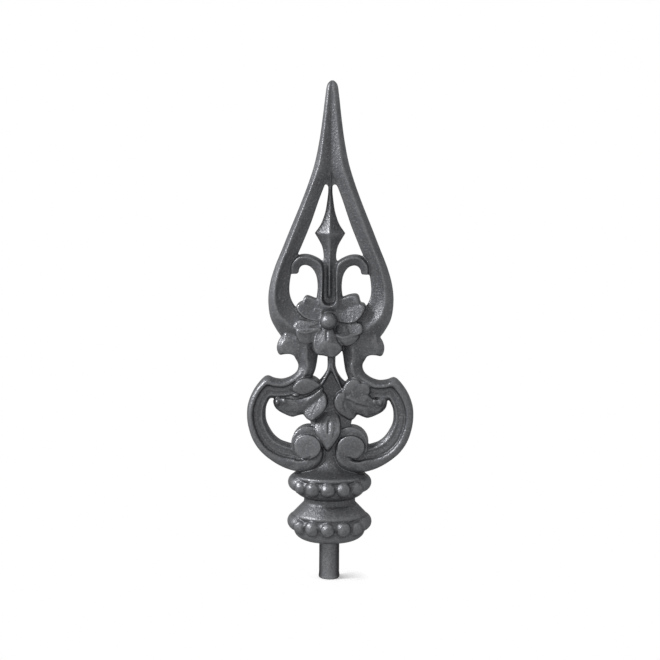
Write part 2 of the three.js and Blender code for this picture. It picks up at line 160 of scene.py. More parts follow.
# The right ear between head and neck: its outline of x, z points, its middle, the half depth at the neck,
# the loss of half depth for each millimetre outwards and down, and the bevel along its outer edge. The face
# sinks into the limb above its top height, and into the neck below its foot height.
EAR_OUTLINE = [(38.6, 192.9), (40.9, 189), (42.1, 184.5), (41.5, 180.6), (39.6, 178.1), (35.2, 178.8),
               (31, 178.7), (27.8, 176.9), (25.8, 174), (22, 173), (19.8, 177), (19.8, 187), (22.5, 197),
               (28, 201), (35, 198)]
EAR_MIDDLE = (28, 186)
EAR_NECK = 18.0
EAR_DEPTH = 9.0
EAR_FALL = 0.08
EAR_LEAN = 0.14
EAR_INNER_BEVEL = 0.8
EAR_BEVEL = 4.0
EAR_BEVEL_FROM = 35.0
EAR_BEVEL_RUN = 5.0
EAR_DROP = 3.4
EAR_TOP = 186.0
EAR_TOP_SINK = 0.02
EAR_FOOT = 181.0
EAR_FOOT_SINK = 0.05
EAR_FOOT_EDGE = 34.0
EAR_FOOT_RUN = 8.0

# The dart in two runs with a crisp edge between them, from the valley of the head down to its widest
# place, and from there down the stem: z, half width, half depths of edge and ridge, and how far the stem
# has turned into a thin rib on a flat floor.
DART_POINT = [
    (338, 0.4, 3, 4.6, 0),
    (327, 0.9, 3, 5.2, 0),
    (316, 1.4, 2.4, 5, 0),
    (309, 1.6, 1.8, 4.4, 0),
    (304, 1.8, 1.6, 4, 0),
    (293, 3.3, 1.4, 4.4, 0),
    (286.8, 4.9, 1.2, 5.4, 0),
    (280.5, 7.4, 1, 7, 0),
    (273.8, 12, 0.8, 9.2, 0),
]
DART_STEM = [
    (273.8, 12, 0.8, 9.2, 0),
    (268, 8.4, 1.1, 7.2, 0),
    (262.7, 5.9, 1.6, 6, 0),
    (255.5, 4.8, 2.4, 5.6, 0.15),
    (250.5, 5.6, 2.8, 5.6, 0.5),
    (244, 5.2, 3, 5.6, 0.9),
    (233, 5.2, 3, 5.6, 1),
    (226, 5.2, 3, 5.6, 1),
    (223, 5.2, 3, 3.6, 1),
    (216, 5, 3, 3.2, 1),
]
STEM_RIB_HALF_WIDTH = 1.3
STEM_FLOOR_DEPTH = 3.2

# Half of the fleur from the tongue at its foot up and over to the hook: outer x, z, inner x, z, how far
# its section has swelled into the tongue, and the share of the depth.
FLEUR_STATIONS = [
    (-0.5, 207.5, -0.5, 219.5, 1, 1),
    (4, 208, 2.4, 220.1, 1, 1),
    (8, 211, 4.2, 222, 1, 1),
    (10.4, 216.5, 4.8, 224.6, 0.7, 1),
    (10, 224, 4.7, 229.6, 0.2, 1),
    (9.3, 231.4, 4.6, 236, 0, 1),
    (9.9, 238.6, 4.4, 244, 0, 1),
    (11.8, 243.8, 5.6, 251.2, 0, 1),
    (15, 247.6, 11, 255.2, 0, 1),
    (19.2, 249, 17.8, 257.3, 0, 1),
    (22.4, 247.8, 24.6, 256.4, 0, 0.96),
    (24.1, 245.2, 30, 251, 0, 0.86),
    (24.3, 243.4, 31, 246, 0, 0.76),
    (25.2, 242, 30.6, 242, 0, 0.66),
]
FLEUR_SECTION = [(0, 3), (0.08, 4.6), (0.45, 6.2), (0.72, 7.4), (0.8, 7.4), (0.92, 5.2), (1, 3.2)]
TONGUE_SECTION = [(0, 5.6), (0.2, 6), (0.4, 6.8), (0.6, 7.9), (0.75, 8.7), (0.82, 8.6), (0.91, 5.6),
                  (1, 3.4)]

# Petals and leaf lobes: an outline of x, z points, the middle, and the half depths at the middle and
# at the rim. The slope tips the face: gain of half depth for each millimetre in x and in z. The fullness
# is low for a peaked face and high for a flat one with round edges. The rim is rounded off at the end.
LOBE_ROUNDING = 1.6
LOBE_ROUNDED_FROM = 0.86
FLOWER_PETALS = [
    {"outline": [(-6, 221), (-12.6, 223), (-18.7, 225), (-21.3, 222.9), (-21.9, 220.8), (-24.5, 219.5),
                 (-26.9, 217), (-26.6, 214), (-24.1, 211), (-20.7, 208.3), (-14.5, 206), (-7, 206)],
     "middle": (-9.5, 214.5), "depths": (6.6, 9.4), "slope": (0.08, -0.2), "fullness": 1.5},
    {"outline": [(6, 223), (10.3, 224.4), (14, 225.8), (18.8, 226.5), (21.4, 225.2), (22.6, 221.6),
                 (23.4, 219.5), (25.2, 219.2), (26.9, 217.4), (26.6, 214.4), (24.1, 209.8), (19.7, 205.4),
                 (14.2, 204.3), (6, 205.5), (4, 213)],
     "middle": (8.5, 214), "depths": (6.2, 10.4), "slope": (0.06, -0.14), "fullness": 1.5},
    {"outline": [(-6, 205), (-14.5, 205.6), (-22.7, 206.8), (-27, 205), (-28.9, 201.9), (-28, 199.2),
                 (-24.6, 196.8), (-19, 196.2), (-13, 198), (-6, 201)],
     "middle": (-17, 201.6), "depths": (10.4, 9.8), "slope": (0.06, -0.34), "fullness": 2.4},
    {"outline": [(-6, 201), (-14, 201.2), (-24, 200), (-27, 197.6), (-26, 192.6), (-23.6, 189),
                 (-18.5, 187.5), (-13, 189), (-6, 196)],
     "middle": (-17, 194.5), "depths": (11.2, 10.4), "slope": (0.02, 0.18), "fullness": 2.6},
    {"outline": [(4, 204), (14.2, 204.6), (22.4, 205.2), (25.2, 202.8), (25.6, 199), (24, 196.4), (19, 195),
                 (14, 194.8), (9, 193), (4, 195)],
     "middle": (15, 200), "depths": (9.9, 9.6), "slope": (0.18, -0.34), "fullness": 2.4},
    {"outline": [(2, 197), (8, 197), (15, 197.6), (21, 197.4), (23, 195), (21.3, 191), (17.1, 187.3),
                 (13, 186.2), (8.9, 187), (4, 190)],
     "middle": (12, 192), "depths": (12.4, 9.8), "slope": (0.04, 0.08), "fullness": 1.6},
    {"outline": [(-3, 204), (-9, 198.9), (-12.4, 193.8), (-13.5, 187.6), (-12.3, 182.8), (-9.6, 179.7),
                 (-5.5, 179.2), (-2, 178.4), (2.1, 177.4), (6.2, 179.7), (9.4, 183.4), (9.3, 186.7),
                 (6.6, 190.4), (4.2, 196), (1.5, 203)],
     "middle": (-2, 190), "depths": (15.6, 12), "slope": (0, -0.12), "fullness": 1.3},
]
LEAF_LOBES = [
    {"outline": [(-29.4, 153.2), (-27.2, 156.8), (-23.4, 160), (-18, 161.2), (-12.6, 160), (-9, 157.5),
                 (-6.6, 155.3), (-10.8, 151.9), (-15.3, 149.1), (-21.1, 147.3), (-26, 148.7),
                 (-28.9, 150.7)],
     "middle": (-18, 154.6), "depths": (11.8, 10.8), "slope": (-0.1, 0.2), "fullness": 3},
    {"outline": [(-5.4, 154), (-11.7, 149), (-17, 146.4), (-23.3, 144.4), (-28.7, 144), (-33, 144.4),
                 (-36.6, 144.4), (-39.4, 144.8), (-42.8, 144.4), (-43.6, 141), (-42.2, 137.1), (-39, 133.5),
                 (-33.2, 131.6), (-26.8, 130.3), (-20.6, 131.4), (-12, 134), (-6, 140)],
     "middle": (-24, 138), "depths": (8.8, 6.6), "slope": (0.04, 0.3), "fullness": 2.2},
    {"outline": [(-6.7, 151.6), (-3.6, 148.8), (-2, 144.1), (-2.5, 138.6), (-5.5, 134), (-9.8, 130.1),
                 (-13.8, 127.2), (-16.9, 128), (-19.2, 129.8), (-20.6, 132.4), (-19.4, 137.2),
                 (-16.2, 141.4), (-11.2, 146.8)],
     "middle": (-10.5, 138.5), "depths": (11.4, 10.2), "slope": (0.36, -0.26), "fullness": 2.4},
    {"outline": [(9.4, 151), (11, 155.1), (13.7, 158.9), (18.3, 161), (22.3, 160), (24.3, 157.8),
                 (27.2, 158), (30.3, 156.5), (32, 152.5), (30.7, 148.2), (25.1, 143.6), (18, 142.6),
                 (12.6, 144)],
     "middle": (20.5, 152), "depths": (10.8, 10), "slope": (-0.04, 0.04), "fullness": 3},
    {"outline": [(11, 147.5), (19.7, 148.4), (28.7, 149.2), (33.2, 145.8), (36.6, 144.6), (39.6, 145.2),
                 (43, 145.8), (45, 144.6), (44.2, 140.5), (41.5, 136.2), (37.8, 133.5), (33.3, 132),
                 (29.7, 129.8), (25.2, 131.2), (21.6, 132.4), (15, 134), (11, 141)],
     "middle": (25, 140), "depths": (9.6, 8.2), "slope": (-0.08, 0.24), "fullness": 2.6},
    {"outline": [(11.6, 150.4), (7.2, 149.8), (4.4, 146), (3.4, 141.9), (4.8, 136.7), (8.1, 132.6),
                 (11.8, 129.9), (15.8, 127.6), (19.2, 128.7), (20.6, 131.7), (20, 135.5), (16.4, 140.2),
                 (13, 145)],
     "middle": (11.5, 139), "depths": (10.6, 9.4), "slope": (-0.16, 0.2), "fullness": 2.6},
]

# The thin back of a leaf that carries its lobes, given for the right leaf.
LEAF_BACK = {
    "outline": [(9, 152.5), (4.5, 147), (3.8, 141), (6.5, 134), (11, 129), (15.8, 126.8), (19.6, 129.4),
                (21.8, 131.6), (26, 130), (30.2, 129.2), (37, 131.8), (42, 135), (44.4, 139), (44, 143),
                (36, 145.5), (31.2, 148.6), (31.2, 153), (28, 157), (24.3, 157.2), (19.6, 159.8),
                (13.5, 158)],
    "middle": (19.5, 142.5), "depths": (7.4, 5), "slope": (0, 0), "fullness": 2.6}

# Small balls cast on the leaves: the curled tips, and the tooth beside the upper left lobe.
LEAF_TIP_CURLS = [(-41, 141.4), (-35.6, 142.4), (35, 142.6), (39.6, 142)]
LEAF_TIP_RADII = (1.9, 3, 2.6)
LEAF_TIP_DEPTH = 10.0
LEAF_TOOTH = (-26.6, 147.4)
LEAF_TOOTH_RADII = (3.2, 2.6, 1.3)

# The web behind the leaves, from the flower down to the bud: z, half width, half depth. It falls to both
# sides.
WEB_FALL = 0.3
WEB_STATIONS = [
    (184, 3.4, 9),
    (176, 2.9, 8.8),
    (170, 2.9, 8.6),
    (166.6, 3.6, 7.4),
    (164.2, 4.9, 5.2),
    (160, 7.8, 4.8),
    (154, 13.5, 4.6),
    (142, 19, 4.6),
    (130, 17, 5.5),
    (120, 14.5, 7),
    (110, 9, 7),
]

# The bud between the volutes: z, half width, half depth. It falls to both sides and is tipped to the left.
BUD_STATIONS = [
    (136, 5, 4),
    (132, 7.8, 6.4),
    (128, 9.2, 8.8),
    (124, 10, 11.2),
    (119.4, 10, 13.2),
    (115, 8.4, 13.8),
    (110, 5.4, 13.8),
    (106.5, 3, 13.2),
    (103.6, 0.8, 11.6),
]
BUD_AXIS = -1.4
BUD_FALL = 0.28
BUD_TIP = 0.08

# The flower's ground and ball, and the volutes' bosses, each tipped by its slope, on their rounded lobes.
FLOWER_CENTRE = (INNER_AXIS, 206.4)
FLOWER_DISC = {"radii": (12, 12), "depths": (7, 6)}
BALL_RADII = (6.8, 8, 6.8)
BALL_DEPTH = 19.0
BOSS_CENTRE = (17.2, 106.8)
BOSS = {"radii": (10.7, 9.5), "depths": (13.2, 12.6)}
BOSS_SLOPES = {1: (-0.05, 0.06), -1: (0.1, -0.12)}
LOBE_CENTRE = (16.5, 108.9)
LOBE = {"radii": (13.6, 13.6), "depths": (9.2, 8)}

# Turned base from the pin's end to the throat, as runs of radius, z with a crisp edge between two runs.
BASE_RUNS = [
    [(0, 0), (7.2, 0)],
    [(7.2, 0), (8.1, 0.5), (8.3, 1.6), (8.15, 3.2), (8, 5)],
    [(8, 5), (8, 30.6), (8.6, 31)],
    [(8.6, 31), (17, 31)],
    [(17, 31), (21, 31.8), (24.6, 33.6), (27, 36), (28.2, 39)],
    [(28.2, 39), (28.2, 50)],
    [(28.2, 50), (28.9, 51.2), (28.9, 52.4), (28.4, 53)],
    [(28.4, 53), (26.6, 54.9), (24.6, 57), (22.6, 59.1), (20.9, 60.8), (20.2, 62.2)],
    [(20.2, 62.2), (20.2, 65.8)],
    [(20.2, 65.8), (22.2, 66.2)],
    [(22.2, 66.2), (24.6, 67.6), (26.6, 69.6), (27.8, 72)],
    [(27.8, 72), (27.8, 80.6)],
    [(27.8, 80.6), (29, 81.8), (29, 83.4), (28.2, 84)],
    [(28.2, 84), (23.4, 85.6), (17.5, 88), (14, 90.4), (11.6, 93.4), (9.6, 98), (8.6, 104), (8.4, 114)],
    [(8.4, 114), (0, 116)],
]
BASE_SEGMENTS = 180

# At the parting of the mould, on the left and the right, the beads run together into plain cheeks: the
# radius of their ring, thin behind the beads and full at the sides, the angles from the front between which
# it swells, the half width that has no beads, and the rise of the ring above the beads.
CHEEK_THIN_RADIUS = 2.5
CHEEK_RADIUS = 6.2
CHEEK_FROM = math.radians(38)
CHEEK_FULL = math.radians(62)
CHEEK_HALF_WIDTH = 10.0
CHEEK_RISE = 1.5

# Fine lines worked into the front and the back after fusing: x, z points, half width, and the height,
# which is below zero for a crease and above it for a raised line. A line fades over a share of its length
# at either end, and leaves alone what looks to the side.
LINE_FADE = 0.16
LINE_END = 0.15
LINE_FACING = 0.2
CARVED_LINES = [
    # Creases of the petals
    ([(-12.6, 214.4), (-14.6, 216.6), (-17, 219), (-20, 221.4)], 2, -0.7),
    ([(10.5, 214), (15, 217), (19.6, 218.8), (23.6, 219.6)], 2, -0.5),
    ([(-7, 203.6), (-11, 202.4), (-16, 200.6)], 0.9, -0.8),
    ([(11.8, 202), (13.2, 199.6), (14.8, 196.6)], 0.8, -0.8),
    ([(-2.6, 199), (-2.4, 195), (-2.2, 191.2)], 0.8, -1.2),
    # Raised folds of the side petals
    ([(-7, 201.2), (-13.6, 198.2), (-19, 196.8), (-26, 198.8)], 0.7, 0.4),
    ([(3.6, 195.6), (8.9, 193.4), (15.5, 194.9), (24.6, 196.6)], 0.7, 0.4),
    # Raised rims of the bottom petal and of the upper petals
    ([(-7, 200), (-10.4, 195.6), (-12.2, 190), (-12, 185)], 0.6, 0.5),
    ([(-8, 206.6), (-14.5, 206.8), (-20.4, 209), (-25.4, 214)], 0.6, 0.5),
    ([(9, 205.6), (14.2, 205), (19.3, 206.2), (23.4, 210), (25.8, 215)], 0.6, 0.5),
    # The raised edge of the fleur's channel
    ([(-6.4, 240), (-6.4, 228), (-6.1, 222.6), (-4.2, 219), (-1, 217.6), (2.2, 219), (4.1, 222.6),
      (4.4, 228), (4.4, 240)], 0.6, 0.5),
    # Veins of the leaves
    ([(11.2, 145.2), (16.2, 143.6), (20.7, 141.2), (25.2, 139.8), (32, 138.4)], 0.7, -0.8),
    ([(12.1, 145.6), (15.7, 148.9), (21, 154.6)], 0.5, -0.3),
    ([(11.7, 144.3), (10.8, 139.7), (12.6, 134)], 0.6, -0.6),
    ([(-7.6, 146), (-10.7, 139.4), (-13.8, 131.6)], 0.5, -0.3),
    # Grooves of the bud
    ([(-0.6, 128), (-0.8, 123), (-0.5, 117.4)], 0.8, -1.5),
    ([(3.4, 127), (4.2, 122), (2.4, 115)], 0.8, -0.35),
    ([(-5.4, 127), (-5, 121), (-2.8, 114)], 0.9, -0.25),
    # Where the volutes wind into themselves
    ([(-28, 109), (-27.4, 104.4), (-25.4, 101), (-22.4, 98.8)], 0.8, -0.8),
    ([(-19.6, 97.4), (-17, 97.6), (-14.2, 99.2)], 0.8, -1),
    ([(28.4, 109), (27.8, 104.4), (25.8, 101), (22.8, 98.8)], 0.8, -0.8),
    ([(20, 97.4), (17.4, 97.6), (14.6, 99.2)], 0.8, -1),
]

# Stalks of the two leaves, as rounded ribs along x, z points.
RIB_LINES = [
    [(0, 171), (-1.4, 165.8), (-3.9, 160.8), (-7.2, 155.3), (-11.7, 149.8), (-17, 146.3), (-21, 144.6)],
    [(1.6, 171), (3.2, 165.9), (5.8, 160), (8, 155.1), (10, 150.6)],
]
RIB_HALF_WIDTH = 1.6
RIB_DEPTH = 8.9
RIB_ROOT = 6.0

# The iron: the size of its mottling in metres, the pin's radius, the heights between which the pin's painted
# highlight and painted shade end, the colour of the painted shade on the pin's sides, and the tint that dulls
# reflections at a grazing look.
MOTTLE_SIZE = 14 * MM
PIN_RADIUS = 8.0
PIN_SHOULDER = (28.0, 31.0)
PIN_SIDE_SHADE_COLOUR = (0.025, 0.025, 0.027)
RIM_TINT = (0.25, 0.25, 0.25)

# The studio: the side that the surround is brightest on and the span over which it dims, the lights' places
# and sizes, the floor's radius and its fading into the backdrop, all in metres, and the camera's sensor in
# millimetres with the shift of the picture on it.
BRIGHT_SIDE = (-0.5, -0.3, 0.8)
SURROUND_SPAN = (-0.8, 1)
KEY_LIGHT = {"place": (-1.25, 0, 0.7), "size": 0.9}
FRONT_LIGHT = {"place": (-1.22, -0.46, 1), "size": 0.35}
FLOOR_RADIUS = 1.2
FLOOR_FADE = (0.002, 0.032)
CAMERA_SENSOR = 36
CAMERA_SHIFT = (-0.00106, 0.00369)


# Settings that can be changed in the sidebar


def length_setting(name, description, millimetres):
    return FloatProperty(
        name=name, description=description, default=millimetres * MM, unit="LENGTH", precision=5)


def colour_setting(name, description, colour):
    return FloatVectorProperty(name=name, description=description, default=colour, subtype="COLOR", size=3)


def number_setting(name, description, number, **limits):
    return FloatProperty(name=name, description=description, default=number, **limits)


class FinialSizes(PropertyGroup):
    """Sizes of the casting that can be changed"""

    bead_count: IntProperty(
        name="Beads", description="Places for beads round each ring; those at the plain cheeks stay empty",
        default=14, min=6, max=24)
    upper_bead_height: length_setting(
        "Upper ring height", "Height of the upper ring of beads above the pin's end", 75.8)
    upper_bead_ring: length_setting("Upper ring radius", "From the axis to the beads of the upper ring", 26.8)
    upper_bead_radius: length_setting("Upper bead radius", "Radius of a bead in the upper ring", 6)
    lower_bead_height: length_setting(
        "Lower ring height", "Height of the lower ring of beads above the pin's end", 44.4)
    lower_bead_ring: length_setting("Lower ring radius", "From the axis to the beads of the lower ring", 27.2)
    lower_bead_radius: length_setting("Lower bead radius", "Radius of a bead in the lower ring", 6)
    bead_unevenness: number_setting("Bead unevenness", "How much the cast beads differ in size", 0.05)
    bead_lumps: length_setting("Bead lumps", "How far the cast beads depart from a round form", 1.4)
    detail: length_setting("Casting detail", "Finest detail kept when the forms are fused", 0.55)
    soften_rounds: IntProperty(
        name="Softening", description="Rounds of smoothing that give the edges of a sand casting", default=2)
    most_triangles: IntProperty(
        name="Most triangles", description="Triangles kept in the finished casting", default=190000)


class FinialFinish(PropertyGroup):
    """Colours and grain of the raw iron"""

    # Painted shade: the colour that hollows and creases are darkened towards, also the darker end of the
    # grain specks.
    hollow_shade_and_speck_colour: colour_setting("Hollows", "Colour of the iron in its hollows", (0.074, 0.075, 0.08))
    face_colour: colour_setting("Faces", "Colour of the iron on open faces", (0.115, 0.117, 0.1245))
    # Partly wear, partly painted highlight: the lighter colour of raised edges, also used for the pin's
    # painted highlight and the grain's flecks.
    wear_and_highlight_colour: colour_setting("Edges", "Colour of the iron on rubbed edges", (0.21, 0.213, 0.222))
    metallic: number_setting("Metallic", "How metallic the raw surface is", 0.7, min=0, max=1)
    roughness: number_setting("Roughness", "Middle roughness of the cast skin", 0.4, min=0, max=1)
    grain_size: length_setting("Grain size", "Size of the sand grain in the surface", 1.9)
    grain_depth: length_setting("Grain depth", "Depth of the sand grain in the surface", 0.4)


class FinialStudio(PropertyGroup):
    """Camera and light of the plain studio"""

    floor_colour: colour_setting("Floor", "Colour of the studio floor", (0.8, 0.8, 0.8))
    surround_bright: number_setting(
        "Bright surround", "Strength of the even light from the upper left front", 0.97)
    surround_dim: number_setting("Dim surround", "Strength of the even light from the lower right back", 0.66)
    key_power: number_setting("Key light", "Power of the soft light from the left", 3, unit="POWER")
    front_power: number_setting(
        "Front light", "Power of the soft light from the upper left front", 27, unit="POWER")
    camera_distance: length_setting(
        "Camera distance", "From the finial's axis to the camera, over the floor", 1550)
    camera_height: length_setting("Camera height", "Height of the camera above the pin's end", 390)
    camera_turn: number_setting(
        "Camera turn", "How far the camera stands to the right of the front", math.radians(3),
        unit="ROTATION")
    camera_roll: number_setting(
        "Camera roll", "Turn of the camera about its own axis", math.radians(-0.39), unit="ROTATION")
    camera_lens: number_setting("Lens", "Focal length of the camera in millimetres", 108.873)


# Curves and solids


def spline(stations, places):
    """Rows of a smooth curve through a table of stations, at places from 0 to 1."""
    table = np.asarray(stations, dtype=float)
    last = len(table) - 1
    reach = np.clip(np.asarray(places, dtype=float), 0, 1) * last
    start = np.minimum(reach.astype(int), last - 1)
    t = (reach - start)[:, None]
    here = table[start]
    there = table[start + 1]
    leave = (there - table[np.maximum(start - 1, 0)]) / 2
    arrive = (table[np.minimum(start + 2, last)] - here) / 2
    cubic = 2 * here - 2 * there + leave + arrive
    square = 3 * there - 3 * here - 2 * leave - arrive
    return cubic * t**3 + square * t**2 + leave * t + here


def section(points, across):
    """Heights of a smooth section at places across it."""
    dense = spline(points, np.linspace(0, 1, 40 * len(points)))
    return np.interp(across, dense[:, 0], dense[:, 1])


def mix(start, end, share):
    """A value between a start and an end."""
    return start + (end - start) * share


def ease(share):
    """A share from 0 to 1 that starts and ends gently."""
    share = np.clip(share, 0, 1)
    return share * share * (3 - 2 * share)


def path_length(points):
    return float(np.linalg.norm(np.diff(np.asarray(points, dtype=float), axis=0), axis=1).sum())


def places_along(points):
    """Evenly counted places along a path, about one step apart."""
    return np.linspace(0, 1, max(int(path_length(points) / STEP), 8))


def columns(stations, first=0):
    """Columns of a smooth curve through stations, a step apart on the path of two neighbouring columns."""
    table = np.array(stations, dtype=float)
    rows = spline(table, places_along(table[:, first:first + 2]))
    return [column[:, None] for column in rows.T]


def outline_edge(outline):
    """A smooth closed edge through the points of an outline, a step apart."""
    points = np.array(outline + outline[:1])
    return spline(points, places_along(points)[:-1])


def tipped(depth, x, z, middle, slope):
    """A half depth that also grows with the distance from a middle, by a slope in x and in z."""
    return depth + slope[0] * (x - middle[0]) + slope[1] * (z - middle[1])


def numbered(shape, more_rows=0, more_columns=0):
    """Numbers of a grid of points, the first row or column coming again at the end where it closes."""
    numbers = np.arange(shape[0] * shape[1]).reshape(shape)
    return np.pad(numbers, ((0, more_rows), (0, more_columns)), mode="wrap")


def angles(count):
    """Angles evenly spread round a circle."""
    return np.linspace(0, 2 * math.pi, count, endpoint=False)


def cells(numbers):
    """The four-sided faces between neighbouring rows and columns of numbered points."""
    corners = [numbers[:-1, :-1], numbers[:-1, 1:], numbers[1:, 1:], numbers[1:, :-1]]
    return np.stack(corners, axis=-1).reshape(-1, 4)


def two_sided(x, z, depth, faces, border):
    """A closed solid between a sheet lifted to the front and the same sheet lifted to the back."""
    front = np.stack([x, -depth, z], axis=-1).reshape(-1, 3)
    back = np.stack([x, depth, z], axis=-1).reshape(-1, 3)
    count = len(front)
    following = np.roll(border, -1)
    walls = np.stack([border, border + count, following + count, following], axis=-1)
    return np.concatenate([front, back]), np.concatenate([faces, faces[:, ::-1] + count, walls])


def skin(x, y, z, more_rows=0):
    """A surface from rows of points that each run round into themselves."""
    return np.stack([x, y, z], axis=-1).reshape(-1, 3), cells(numbered(x.shape, more_rows, 1))


def strip(x, z, depth):
    """A two-sided solid from rows of points along a band."""
    numbers = numbered(x.shape)
    border = np.concatenate([numbers[0, :-1], numbers[:-1, -1], numbers[-1, :0:-1], numbers[:0:-1, 0]])
    return two_sided(x, z, depth, cells(numbers), border)


def pad(x, z, depth):
    """A two-sided solid from rings of points, the first ring being the middle."""
    return two_sided(x, z, depth, cells(numbered(x.shape, 0, 1)), numbered(x.shape)[-1])


def ellipsoid(centre, radii, rows=24, segments=48):
    """A closed ball with its own radius along each axis."""
    polar = np.linspace(0, math.pi, rows)[:, None]
    around = angles(segments)[None, :]
    x = centre[0] + radii[0] * np.sin(polar) * np.cos(around)
    y = centre[1] + radii[1] * np.sin(polar) * np.sin(around)
    z = centre[2] + radii[2] * np.cos(polar) * np.ones_like(around)
    return skin(x, y, z)


def front_and_back(centre, depth, radii):
    """The same ball on the front and on the back, reaching out to a half depth."""
    x, z = centre
    reach = depth - radii[1]
    return [ellipsoid((x, -reach, z), radii), ellipsoid((x, reach, z), radii)]


def turned(runs):
    """A solid turned about the Z axis from runs of radius and height."""
    outline = [runs[0][0]]
    for run in runs:
        places = np.linspace(0, 1, 8 * (len(run) - 1) + 1)[1:]
        outline.extend(map(tuple, spline(run, places)))
    profile = np.array(outline)
    around = angles(BASE_SEGMENTS)
    x = profile[:, :1] * np.cos(around)
    y = profile[:, :1] * np.sin(around)
    z = profile[:, 1:] * np.ones_like(around)
    return skin(x, y, z)


def cheeks(ring, height):
    """A ring that is thin behind the front and back beads and full where they run together."""
    around = angles(BASE_SEGMENTS)[:, None]
    from_front = np.arccos(np.abs(np.sin(around)))
    swelling = ease((from_front - CHEEK_FROM) / (CHEEK_FULL - CHEEK_FROM))
    tube = mix(CHEEK_THIN_RADIUS, CHEEK_RADIUS, swelling)
    turn = angles(32)[None, :]
    radius = ring + tube * np.cos(turn)
    x = radius * np.cos(around)
    y = radius * np.sin(around)
    z = height + tube * np.sin(turn)
    return skin(x, y, z, more_rows=1)


def disc(centre, radii, depths, slope=(0, 0)):
    """A round or oval pad that falls from its middle to its rim, tipped by its slope."""
    share = np.linspace(0, 1, int(radii[0] / STEP))[:, None]
    around = angles(int(7 * radii[0] / STEP))[None, :]
    x = centre[0] + radii[0] * share * np.cos(around)
    z = centre[1] + radii[1] * share * np.sin(around)
    return pad(x, z, tipped(mix(depths[0], depths[1], share**4), x, z, centre, slope))


def mirrored(solid):
    """The same solid on the other side of the middle."""
    points, faces = solid
    return points * (-1, 1, 1), faces[:, ::-1]


def lobe(outline, middle, depths, slope, fullness):
    """A petal or leaf lobe: a pad inside an outline, tipped by its slope.

    A domed lobe falls to its rim all round. A dished one rises with the distance from its middle, in which
    notches of the outline are evened out.
    """
    edge = outline_edge(outline)
    share = np.linspace(0, 1, 26)[:, None]
    outwards = share
    if depths[1] > depths[0]:
        reach = np.linalg.norm(edge - middle, axis=1)
        beside = len(reach) // 12
        reach = np.mean([np.roll(reach, step) for step in range(-beside, beside + 1)], axis=0)
        outwards = share * reach / reach.max()
    x = mix(middle[0], edge[:, 0], share)
    z = mix(middle[1], edge[:, 1], share)
    depth = tipped(mix(depths[0], depths[1], outwards**fullness), x, z, middle, slope)
    rounding = LOBE_ROUNDING * ease((share - LOBE_ROUNDED_FROM) / (1 - LOBE_ROUNDED_FROM)) ** 2
    return pad(x, z, depth - rounding)


def round_rib(points, half_width, depth, root):
    """A rounded rib along a path, standing from a root depth to its crest."""
    places = places_along(points)
    line = spline(points, places)
    way = np.gradient(line, axis=0)
    way /= np.linalg.norm(way, axis=1, keepdims=True)
    across = np.linspace(-1, 1, 11)[None, :]
    taper = np.sqrt(np.clip(1 - places, 0.05, 1))[:, None]
    x = line[:, :1] - half_width * taper * across * way[:, 1:]
    z = line[:, 1:] + half_width * taper * across * way[:, :1]
    height = root + (depth - root) * np.sqrt(1 - across**2)
    return strip(x, z, height * np.ones_like(taper))


# Forms of the finial


def head_limb(side):
    """One limb of the lance head: a roof-like section with its ridge near the outer edge."""
    outer_x, outer_z, inner_x, inner_z, ridge_place, ridge, inner, hollow = columns(HEAD_STATIONS)
    across = np.linspace(0, 1, 33)[None, :]
    x = mix(side * outer_x, side * inner_x + OPENING_SHIFT, across)
    z = mix(outer_z, inner_z, across)
    outer = np.minimum(EDGE_DEPTH, 0.5 * ridge)
    climb = np.clip(across / ridge_place, 0, 1)
    descent = np.clip((across - ridge_place) / (1 - ridge_place), 0, 1)
    depth = mix(outer, ridge, climb ** (1 - 0.25 * np.maximum(hollow, 0)))
    depth = depth + (inner - ridge) * descent - hollow * np.sin(math.pi * np.clip(descent / 0.85, 0, 1))
    return strip(x, z, depth)


def scroll_frame(side):
    """Half of the scroll frame: neck, shoulder, loop and volute, the section changing along the way."""
    outer_x, outer_z, inner_x, inner_z, moulding, depth = columns(FRAME_STATIONS)
    moulding = np.clip(moulding, 0, 2)
    across = np.linspace(0, 1, 49)[None, :]
    roll = mix(ROLL_SHARE, 1, np.clip(moulding - 1, 0, 0.98))
    on_roll = np.minimum(across / roll, 1)
    beside = ROLL_SHARE + (1 - ROLL_SHARE) * (across - roll) / (1 - roll)
    winding = np.clip(2 * moulding - 2, 0, 1)
    rolled = mix(section(MOULDED_SECTION, ROLL_SHARE * on_roll), section(WINDING_SECTION, on_roll), winding)
    moulded = np.where(across < roll, rolled, section(MOULDED_SECTION, beside))
    lift = mix(section(PLAIN_SECTION, across), moulded, np.clip(moulding, 0, 1))
    lift = mix(lift, section(RISING_SECTION, across), ease((moulding - 1.8) / 0.2))
    shift = OPENING_SHIFT * np.minimum(moulding, 1)
    x = mix(side * outer_x, side * inner_x + shift, across)
    z = mix(outer_z, inner_z, across)
    return strip(x, z, depth * lift)


